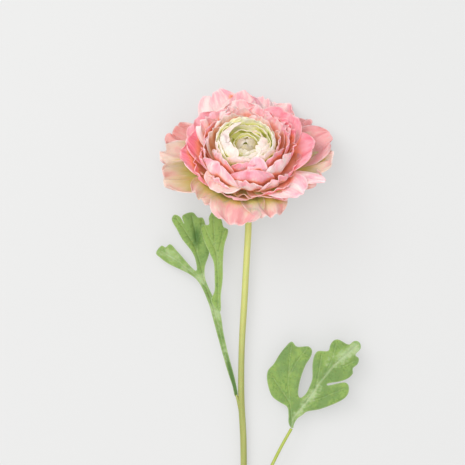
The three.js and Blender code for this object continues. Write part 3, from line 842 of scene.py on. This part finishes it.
def add_blade(pile, outline, height, veins, thickness, spacing, fresh, stalk_painted_shade=0.0):
    """Adds a leaf blade: its outline filled with even triangles and raised to its form.

    Fresh, from 0 to 1, says how much yellow its green has; the last argument, from 0 to 1, says how
    dark the painted shade along the vein at its foot is.
    """
    ring = closed_curve(outline, spacing)
    low, high = ring.min(axis=0), ring.max(axis=0)
    rows = np.arange(low[1], high[1], spacing * ROW_SHARE)
    grid = np.array([(x + (spacing / 2) * (j % 2), y) for j, y in enumerate(rows)
                     for x in np.arange(low[0], high[0], spacing)])
    closed = np.concatenate([ring, ring[:1]])
    grid = grid[within(grid, ring)]
    grid = grid[far_from(grid, [closed]) > spacing * FREE_SHARE]
    points = [Vector(point) for point in np.concatenate([ring, grid])]
    edges = [(i, (i + 1) % len(ring)) for i in range(len(ring))]
    made = delaunay_2d_cdt(points, edges, [], FILL_INSIDE, FILL_JOINS)
    flat = np.array([point[:] for point in made[0]])
    faces = [list(face) for face in made[2]]
    first, second, third = flat[faces[0]]
    if np.cross(second - first, third - first) < 0:
        faces = [face[::-1] for face in faces]

    x, y = flat[:, 0], flat[:, 1]
    edge_far = far_from(flat, [closed])
    vein_far = far_from(flat, veins)
    inner = smooth(edge_far, 0, RIM_WIDTH)
    pleat = PLEAT_DEPTH * near(vein_far, PLEAT_WIDTH) * inner
    swell = SWELL_HEIGHT * smooth(vein_far, 0.5, 5) * inner
    z = height(x, y) - pleat + swell - LOWERED
    thin = thickness * mix(RIM_THICK, 1, inner) / 2
    points = np.concatenate([from_above(x, y, z + thin), from_above(x, y, z - thin)])

    sides = dict.fromkeys(pair for face in faces for pair in zip(face, face[1:] + face[:1]))
    under = len(flat)
    solid = faces + [[under + i for i in reversed(face)] for face in faces]
    solid += [[b, a, under + a, under + b] for a, b in sides if (b, a) not in sides]

    # Painted shade: a dark line beside the vein at the left leaf's foot, for the shaded half of its
    # stalk, and a dark patch in its fold, where shade falls.
    beside = far_from(flat - (0.4, 0.0), veins[:1])
    stalk_painted_shade_line = stalk_painted_shade * near(beside, 1.1) * (1 - smooth(y, -114, -92))
    pile.add(
        points,
        solid,
        vein=both_sides(vein_far),
        edge=both_sides(edge_far),
        midrib=both_sides(far_from(flat, veins[:1])),
        shade=both_sides(np.maximum(0.8 * folded(x, y, 2.6, 6.5), stalk_painted_shade_line)),
        fresh=fresh,
    )


# Materials

# Depths of the skins' fine relief, in metres
PETAL_RELIEF = 0.0005
LEAF_RELIEF = 0.0004
STALK_RELIEF = 0.0002
PAPER_RELIEF = 0.0001

PITH_COLOUR = (0.62, 0.66, 0.36)
BLACK = (0.0, 0.0, 0.0)
WHITE = (1.0, 1.0, 1.0, 1.0)


class Value:
    """A socket of a material's nodes. Sums and products of values add their Math nodes."""

    def __init__(self, finish, socket):
        self.finish = finish
        self.socket = socket

    def maths(self, operation, *values):
        return self.finish.node("ShaderNodeMath", {"operation": operation}, dict(enumerate(values)))

    def __add__(self, other):
        return self.maths("ADD", self, other)

    def __radd__(self, other):
        return self.maths("ADD", other, self)

    def __sub__(self, other):
        return self.maths("SUBTRACT", self, other)

    def __rsub__(self, other):
        return self.maths("SUBTRACT", other, self)

    def __mul__(self, other):
        return self.maths("MULTIPLY", self, other)

    def __rmul__(self, other):
        return self.maths("MULTIPLY", other, self)


class Finish:
    """A material on the standard surface shader, built from expressions."""

    def __init__(self, name, **constants):
        self.material = bpy.data.materials.new(name)
        self.material.use_nodes = True
        self.tree = self.material.node_tree
        self.surface = self.tree.nodes["Principled BSDF"]
        for key, value in constants.items():
            self.surface.inputs[key.replace("_", " ").title()].default_value = value

    def node(self, kind, settings=None, inputs=None, output=0):
        """Adds a node: its settings first, then its sockets' values or links."""
        made = self.tree.nodes.new(kind)
        for key, value in (settings or {}).items():
            setattr(made, key, value)
        for key, value in (inputs or {}).items():
            if isinstance(value, Value):
                self.tree.links.new(value.socket, made.inputs[key])
            else:
                made.inputs[key].default_value = value
        return Value(self, made.outputs[output])

    def carried(self, name):
        """A value that the mesh's points carry."""
        return self.node("ShaderNodeAttribute", {"attribute_name": name}, output="Fac")

    def place(self):
        """The place on the object, in metres."""
        return self.node("ShaderNodeTexCoord", output="Object")

    def vector(self, x, y, z):
        return self.node("ShaderNodeCombineXYZ", inputs={0: x, 1: y, 2: z})

    def noise(self, at, scale, detail=2.0, roughness=0.5):
        sockets = {"Vector": at, "Scale": scale, "Detail": detail, "Roughness": roughness}
        return self.node("ShaderNodeTexNoise", inputs=sockets)

    def ramp(self, value, low, high):
        """0 below low, 1 above high, and smooth between."""
        sockets = {"Value": value, "From Min": low, "From Max": high}
        return self.node("ShaderNodeMapRange", {"interpolation_type": "SMOOTHSTEP"}, sockets)

    def blend(self, amount, first, second):
        """From the first colour to the second one by an amount of 0 to 1."""
        first, second = (part if isinstance(part, Value) else (*part, 1.0)
                         for part in (first, second))
        sockets = {0: amount, 6: first, 7: second}
        return self.node("ShaderNodeMix", {"data_type": "RGBA"}, sockets, 2)

    def layered(self, colour, *layers):
        """The colour under layers, each of them an amount and a colour."""
        for amount, over in layers:
            colour = self.blend(amount, colour, over)
        return colour

    def feed(self, key, value):
        """Lets a value vary the surface's socket of that name."""
        self.tree.links.new(value.socket, self.surface.inputs[key])

    def finished(self, colour, roughness, height, depth):
        """The material with what varies over its surface; depth is the relief's, in metres."""
        sockets = {"Strength": 1.0, "Distance": depth, "Height": height}
        self.feed("Base Color", colour)
        self.feed("Roughness", roughness)
        self.feed("Normal", self.node("ShaderNodeBump", inputs=sockets))
        return self.material


def petal_finish(name, radii, shut, root, glow, green, dull, base, rim, deep, pale):
    """A petal's skin: the foot's colour low down, then base, then rim and deep towards the edge.

    The foot is glow, or green on a green petal, which the dull colour mutes as well. Streaks are
    pale, and so is the very edge: a pale margin, partly a painted highlight. Where petals close it
    in by more than the share shut, the foot's colour is painted there as light that comes through
    the petals, and the petal glows with emitted light of that colour; the deepest places are
    painted the root's colour, or the dull colour on a green petal, as painted shade.
    """
    skin = Finish(name, subsurface_weight=0.5, subsurface_radius=radii, subsurface_scale=0.002,
                  sheen_weight=0.08, emission_strength=0.10)
    along, across, tone = skin.carried("along"), skin.carried("across"), skin.carried("tone")
    outside, leafy, brink = skin.carried("outside"), skin.carried("green"), skin.carried("brink")
    streaks = skin.noise(skin.vector(across * 0.45, along * 3.0, tone * 37.0), 1.6, 4.0, 0.6)
    cloud = skin.noise(skin.vector(across * 0.13, along * 2.4, tone * 19.0), 1.4, 2.0, 0.5)
    reach = (skin.carried("rim") + (cloud - 0.5) * 1.3 + (streaks - 0.5) * 0.7
             + (skin.carried("blush") - 0.5) * 0.9 + outside * 0.25)
    # Painted shade and light follow how closed in the petal is, a little less near its edge.
    closed = (skin.carried("closed") + (cloud - 0.5) * 0.2
              - (1 - skin.ramp(brink, 0.0, 6.0)) * 0.22)
    blade = skin.ramp(along + (cloud - 0.5) * 0.3 + outside * 0.35 - leafy * 0.22, 0.15, 0.65)
    # The very edge is pale: a pale margin, and partly a painted highlight along it.
    edge = (1 - skin.ramp(brink, 0.0, 1.6)) * skin.ramp(cloud, 0.35, 0.6)
    # The foot's colour is the feet's own colour, and below it is also painted and emitted as light
    # where petals close in.
    foot = skin.blend(leafy, glow, green)
    colour = skin.layered(
        foot,
        (blade, base),
        (skin.ramp(reach, 0.62, 1.12), rim),
        (skin.ramp(reach, 1.1, 1.6) * 0.85, deep),
        (skin.ramp(streaks, 0.5, 0.78) * 0.34, pale),
        (leafy * 0.26, dull),
        # Painted light and shade: where petals close it in, the foot's colour stands for light
        # through the petals, and the root's colour, or the dull colour on a green petal, for the
        # deepest shade.
        (skin.ramp(closed, shut, shut + 0.3) * 0.88, foot),
        (skin.ramp(closed, shut + 0.22, 0.9) * 0.85, skin.blend(leafy, root, dull)),
        # The pale edge, partly a painted highlight.
        (edge * 0.45, pale),
    )
    # Painted light: the petal glows with the foot's colour where it is closed in, standing for
    # light that comes through the petals.
    through = skin.ramp(closed, shut - 0.3, shut + 0.25)
    skin.feed("Emission Color", skin.blend(through, BLACK, foot))
    return skin.finished(colour, 0.6 + streaks * 0.2, streaks + cloud * 0.5, PETAL_RELIEF)


def leaf_finish(name, green, light, dark, pale):
    """A leaf's skin: mottled green, pale veins and wisps, painted shade in its fold and stalk."""
    leaf = Finish(name, subsurface_weight=0.08, subsurface_scale=0.001)
    at = leaf.place()
    cloud = leaf.noise(at, 95.0, 3.0, 0.6)
    patch = leaf.noise(at, 240.0, 2.0, 0.55)
    grain = leaf.noise(at, 750.0, 3.0, 0.6)
    fine = leaf.noise(at, 2600.0, 2.0, 0.5)
    vein, midrib, fresh = leaf.carried("vein"), leaf.carried("midrib"), leaf.carried("fresh")
    wisp = leaf.ramp(cloud - midrib * 0.035 + (grain - 0.5) * 0.4, 0.38, 0.62)
    plain = 1 - leaf.ramp(fresh, 0.1, 0.35)
    colour = leaf.layered(
        leaf.blend(fresh, green, light),
        (leaf.ramp(cloud + (patch - 0.5) * 0.5, 0.38, 0.66) * 0.75, light),
        (leaf.ramp(grain + (patch - 0.5) * 0.6, 0.5, 0.72) * 0.5, dark),
        (wisp * (1 - fresh) * 0.8, pale),
        ((1 - leaf.ramp(vein, 0.0, 0.7)) * 0.16, pale),
        ((1 - leaf.ramp(midrib, 0.1, 1.1)) * plain * 0.4, pale),
        ((1 - leaf.ramp(leaf.carried("edge"), 0.0, 0.7)) * 0.4, pale),
        # Painted shade in the fold and along the stalk's foot.
        (leaf.ramp(leaf.carried("shade"), 0.1, 0.75) * 0.95, dark),
    )
    relief = grain * 0.6 + fine * 0.4 + leaf.ramp(vein, 0.0, 1.0) * 0.8
    return leaf.finished(colour, 0.58 + grain * 0.22, relief, LEAF_RELIEF)


def stalk_finish(name, top, low, streak, young):
    """A stalk's skin: from low at the cut end to top under the bloom, streaked along its length.

    Where it is fresh it has the young colour, and its cut ends show pith.
    """
    stem = Finish(name, subsurface_weight=0.12, subsurface_scale=0.002)
    at = stem.place()
    lengthways = stem.node("ShaderNodeSeparateXYZ", inputs={0: at}, output=1)
    stretched = stem.node("ShaderNodeMapping", {"vector_type": "POINT"},
                          {"Vector": at, "Scale": (900.0, 22.0, 900.0)})
    streaks = stem.noise(stretched, 1.0, 3.0, 0.6)
    cloud = stem.noise(at, 60.0, 2.0, 0.5)
    colour = stem.layered(
        low,
        (stem.ramp(lengthways + (cloud - 0.5) * 0.04, -0.03, 0.09), top),
        (stem.carried("fresh") * 0.8, young),
        (stem.ramp(streaks, 0.45, 0.75) * 0.4, streak),
        (stem.carried("cut") * 0.8, PITH_COLOUR),
    )
    return stem.finished(colour, 0.42 + streaks * 0.2, streaks + cloud * 0.6, STALK_RELIEF)


# Settings

def length_setting(name, description, default):
    return FloatProperty(name=name, description=description, default=default, min=0.0,
                         unit="LENGTH", subtype="DISTANCE")


def colour_setting(name, description, default):
    return FloatVectorProperty(name=name, description=description, default=default, size=3,
                               min=0.0, max=1.0, subtype="COLOR")


def colours(settings, names, before=""):
    """The settings' colours for the names, which stand in one string."""
    return [getattr(settings, f"{before}{name}_colour") for name in names.split()]


class BloomSettings(PropertyGroup):
    petal_thickness: length_setting(
        "Petal thickness", "Thickness of a petal at a third of its length", 0.0004)
    ruffle: FloatProperty(
        name="Ruffle", description="Strength of the fine waves in the petals' edges", default=1.0,
        min=0.0, subtype="FACTOR")
    # Root is painted shade: the colour painted deepest between the pink petals where they close in.
    root_colour: colour_setting(
        "Root", "Colour deepest between the pink petals", (0.46, 0.08, 0.03))
    # Glow is the pink petals' own foot colour, and also painted light: painted where petals close
    # in and emitted there as glow.
    glow_colour: colour_setting("Glow", "Colour of the pink petals' feet", (0.94, 0.25, 0.155))
    # The green foot is also painted and emitted as light where green petals close in.
    green_colour: colour_setting(
        "Green foot", "Colour of the outer petals' feet", (0.48, 0.43, 0.10))
    # Dull mutes the outer petals' own colour, and is also the painted shade deepest between green
    # petals.
    dull_colour: colour_setting(
        "Dull", "Colour that dulls the outer petals", (0.26, 0.19, 0.035))
    base_colour: colour_setting("Base", "Colour of the pink petals' blades", (0.86, 0.65, 0.63))
    rim_colour: colour_setting(
        "Rim", "Colour that spreads from the pink petals' edges", (0.83, 0.34, 0.41))
    deep_colour: colour_setting("Deep rim", "Colour of the reddest edges", (0.82, 0.14, 0.22))
    # The streak colour is also the pink petals' very edge, which is partly a painted highlight.
    streak_colour: colour_setting(
        "Streaks", "Colour of the petals' pale streaks and edges", (0.94, 0.79, 0.76))
    # Heart root is painted shade: the colour painted deepest between the heart's petals and on its
    # core.
    heart_root_colour: colour_setting(
        "Heart root", "Colour deepest between the heart's petals", (0.20, 0.22, 0.005))
    # Heart glow is the heart petals' own foot colour, and also painted light: painted where they
    # close in and emitted there as glow.
    heart_glow_colour: colour_setting(
        "Heart glow", "Colour of the heart petals' feet", (0.74, 0.73, 0.14))
    # Heart dull mutes the bud's own colour, and is also the painted shade deepest between the
    # heart's green petals.
    heart_dull_colour: colour_setting(
        "Heart dull", "Colour that dulls the bud in the heart", (0.27, 0.13, 0.03))
    heart_base_colour: colour_setting(
        "Heart base", "Colour of the heart's petals", (0.90, 0.88, 0.55))
    # Heart rim is also the heart petals' pale very edge, which is partly a painted highlight.
    heart_rim_colour: colour_setting(
        "Heart rim", "Colour of the heart petals' edges", (0.96, 0.89, 0.79))
    heart_deep_colour: colour_setting(
        "Heart blush", "Colour of the heart's pinkest petals", (0.94, 0.62, 0.60))


class StemSettings(PropertyGroup):
    sides: IntProperty(name="Sides", description="Faces around the stem", default=28, min=8)
    rib_depth: FloatProperty(
        name="Ribs", description="Depth of the stem's faint ribs, in millimetres", default=0.05,
        min=0.0)
    top_colour: colour_setting("Top", "Colour of the stem under the bloom", (0.555, 0.565, 0.17))
    low_colour: colour_setting("Low", "Colour of the stem at its cut end", (0.265, 0.285, 0.068))
    streak_colour: colour_setting(
        "Streaks", "Colour of the pale streaks in the stem", (0.46, 0.49, 0.18))
    young_colour: colour_setting(
        "Leaf stalk", "Colour of the right leaf's thin stalk", (0.31, 0.385, 0.045))


class LeafSettings(PropertyGroup):
    thickness: length_setting("Leaf thickness", "Thickness of the blades", 0.0006)
    spacing: length_setting("Spacing", "Distance between the points of the blades' meshes", 0.0009)
    green_colour: colour_setting("Green", "Main colour of the leaves", (0.124, 0.214, 0.052))
    light_colour: colour_setting(
        "Light green", "Colour of the leaves' lighter patches", (0.22, 0.33, 0.065))
    # Dark green is the fine mottling's own colour, and also the painted shade in the fold and by
    # the stalk's foot.
    dark_colour: colour_setting(
        "Dark green", "Colour of the fine dark mottling and the folds", (0.055, 0.13, 0.018))
    pale_colour: colour_setting("Pale green", "Colour of the veins and wisps", (0.37, 0.46, 0.25))


class StageSettings(PropertyGroup):
    floor_colour: colour_setting(
        "Floor", "Colour of the surface that the flower lies on", (0.262, 0.262, 0.258))
    camera_height: length_setting("Camera height", "Height of the camera over the surface", 1.6)
    view_width: length_setting("View width", "Width of the view at the flower", 0.25575)


# Operators

class FLOWER_OT_pink_petals(Operator):
    """Makes the open pink petals and the cup that they grow from"""

    bl_idname = "flower.pink_petals"
    bl_label = "Pink petals"

    def execute(self, context):
        bloom = context.scene.flower_bloom
        skin = petal_finish("pink_petal_skin", (1.0, 0.5, 0.42), 0.5,
                            *colours(bloom, "root glow green dull base rim deep streak"))
        tree = bloom_tree()
        for name, petals in pink_petals().items():
            pile = Pile()
            for petal in petals:
                add_petal(pile, petal, PINK_GRID, bloom.petal_thickness / MM, bloom.ruffle, tree)
            if name == "outer_petals":
                add_turned(pile, CUP, CUP_SIDES, **CUP_VALUES)
            hand_over(pile.make(name, skin), "bloom_pink_petals")
        return {"FINISHED"}


class FLOWER_OT_heart(Operator):
    """Makes the tight cream heart of the bloom"""

    bl_idname = "flower.heart"
    bl_label = "Heart"

    def execute(self, context):
        bloom = context.scene.flower_bloom
        skin = petal_finish("heart_petal_skin", (1.0, 0.95, 0.8), 0.64,
                            *colours(bloom, "root glow glow dull base rim deep rim", "heart_"))
        tree = bloom_tree()
        pile = Pile()
        for petal in heart_petals():
            add_petal(pile, petal, HEART_GRID, bloom.petal_thickness / MM, bloom.ruffle, tree)
        add_turned(pile, HEART_CORE, CORE_SIDES, **CORE_VALUES)
        hand_over(pile.make("heart_petals", skin), "bloom_cream_heart")
        return {"FINISHED"}


class FLOWER_OT_stem(Operator):
    """Makes the stem with its seat, sepals, short branch and leaf stalk"""

    bl_idname = "flower.stem"
    bl_label = "Stem and sepals"

    def execute(self, context):
        stem = context.scene.flower_stem
        skin = stalk_finish("stem_skin", *colours(stem, "top low streak young"))
        pile = Pile()
        add_stalk(pile, STEM_LINE, steps=14, sides=stem.sides, ribs=stem.rib_depth)
        add_stalk(pile, BRANCH_LINE, steps=8, sides=stem.sides)
        add_stalk(pile, STALK_LINE, steps=12, sides=stem.sides, fresh=1.0)
        add_turned(pile, SEAT, CORE_SIDES, cut=0.0, fresh=0.0)
        hand_over(pile.make("stem_and_stalks", skin), "stem")
        green = petal_finish("sepal_skin", (1.0, 1.0, 1.0), 0.6,
                             *colours(stem, "low low low low top streak streak streak"))
        pile = Pile()
        for petal in ring_petals(SEPALS, FIRST["sepals"]):
            add_petal(pile, petal, SEPAL_GRID, SEPAL_THICKNESS, ruffle=1.0)
        hand_over(pile.make("sepals", green), "stem")
        return {"FINISHED"}


class FLOWER_OT_leaves(Operator):
    """Makes the two divided leaves"""

    bl_idname = "flower.leaves"
    bl_label = "Leaves"

    def execute(self, context):
        leaf = context.scene.flower_leaf
        skin = leaf_finish("leaf_skin", *colours(leaf, "green light dark pale"))
        sizes = {"thickness": leaf.thickness / MM, "spacing": leaf.spacing / MM}
        left = Pile()
        add_blade(left, LEFT_OUTLINE, left_height, LEFT_VEINS, fresh=0.3, stalk_painted_shade=1.0, **sizes)
        add_blade(left, LEFT_LOBE_OUTLINE, left_lobe_height, LEFT_LOBE_VEINS, fresh=0.8, **sizes)
        hand_over(left.make("left_leaf", skin), "leaf_left")
        right = Pile()
        add_blade(right, RIGHT_OUTLINE, right_height, RIGHT_VEINS, fresh=0.1, **sizes)
        hand_over(right.make("right_leaf", skin), "leaf_right")
        return {"FINISHED"}


# The view's middle beside the bloom's root, as seen from above, and the height of the flower at
# which the view's width is measured
VIEW_BESIDE = (-7.43, -33.3)
VIEW_HEIGHT = 20

# In metres, how far the camera sees and half the floor's width; and how bright the sky is
VIEW_END = 20.0
FLOOR_HALF = 3.0
SKY_STRENGTH = 0.8

# Lights: name, place beside the view's middle in metres, size and power
LIGHTS = (
    ("key", (-0.7, 0.6, 1.1), 0.8, 9.0),
    ("front_fill", (0.1, -1.1, 0.8), 1.4, 5.0),
    ("overhead", (-0.2, 0.1, 1.9), 1.0, 14.0),
)


class FLOWER_OT_stage(Operator):
    """Makes the floor, the soft light and the camera"""

    bl_idname = "flower.stage"
    bl_label = "Stage"

    def execute(self, context):
        scene = context.scene
        stage = scene.flower_stage
        middle = Vector((BLOOM_AT[0] + VIEW_BESIDE[0], BLOOM_AT[1] + VIEW_BESIDE[1], 0)) * MM

        mesh = bpy.data.meshes.new("floor")
        corners = ((-1, -1), (1, -1), (1, 1), (-1, 1))
        mesh.from_pydata([(x * FLOOR_HALF, y * FLOOR_HALF, 0) for x, y in corners], [],
                         [(0, 1, 2, 3)])
        floor = placed("floor", mesh)
        paper = Finish("floor_paper", emission_color=WHITE, emission_strength=0.42)
        cloud = paper.noise(paper.place(), 2.0, 2.0, 0.5)
        shade = [0.97 * part for part in stage.floor_colour]
        colour = paper.blend(cloud, stage.floor_colour, shade)
        mesh.materials.append(paper.finished(colour, 0.85 + cloud * 0.1, cloud, PAPER_RELIEF))

        world = bpy.data.worlds.new("studio")
        world.use_nodes = True
        sky = world.node_tree.nodes["Background"]
        sky.inputs["Color"].default_value = WHITE
        sky.inputs["Strength"].default_value = SKY_STRENGTH
        scene.world = world
        for name, at, size, power in LIGHTS:
            light = bpy.data.lights.new(name, "AREA")
            light.size = size
            light.energy = power
            lamp = placed(name, light)
            lamp.location = middle + Vector(at)
            lamp.rotation_euler = (-Vector(at)).to_track_quat("-Z", "Y").to_euler()

        camera = bpy.data.cameras.new("camera")
        away = stage.camera_height - VIEW_HEIGHT * MM
        camera.lens = camera.sensor_width * away / stage.view_width
        camera.clip_end = VIEW_END
        scene.camera = placed("camera", camera)
        scene.camera.location = middle + Vector((0, 0, stage.camera_height))
        scene.view_settings.view_transform = "Standard"
        return {"FINISHED"}


class FLOWER_PT_flower(Panel):
    """Lists the flower's pieces and their settings"""

    bl_idname = "FLOWER_PT_flower"
    bl_label = "Ranunculus"
    bl_space_type = "VIEW_3D"
    bl_region_type = "UI"
    bl_category = "Flower"

    def draw(self, context):
        scene = context.scene
        for settings, operators in (
            (scene.flower_bloom, (FLOWER_OT_pink_petals, FLOWER_OT_heart)),
            (scene.flower_stem, (FLOWER_OT_stem,)),
            (scene.flower_leaf, (FLOWER_OT_leaves,)),
            (scene.flower_stage, (FLOWER_OT_stage,)),
        ):
            box = self.layout.box()
            for key in type(settings).__annotations__:
                box.prop(settings, key)
            for operator in operators:
                box.operator(operator.bl_idname)


SETTINGS = {
    "flower_bloom": BloomSettings, "flower_stem": StemSettings, "flower_leaf": LeafSettings,
    "flower_stage": StageSettings,
}
CLASSES = (
    *SETTINGS.values(),
    FLOWER_OT_pink_petals, FLOWER_OT_heart, FLOWER_OT_stem, FLOWER_OT_leaves, FLOWER_OT_stage,
    FLOWER_PT_flower,
)


def register():
    for cls in CLASSES:
        bpy.utils.register_class(cls)
    for name, settings in SETTINGS.items():
        setattr(bpy.types.Scene, name, PointerProperty(type=settings))


def unregister():
    for name in SETTINGS:
        delattr(bpy.types.Scene, name)
    for cls in reversed(CLASSES):
        bpy.utils.unregister_class(cls)


def main():
    register()
    bpy.ops.flower.stage()
    bpy.ops.flower.stem()
    bpy.ops.flower.leaves()
    bpy.ops.flower.pink_petals()
    bpy.ops.flower.heart()


if __name__ == "__main__":
    main()
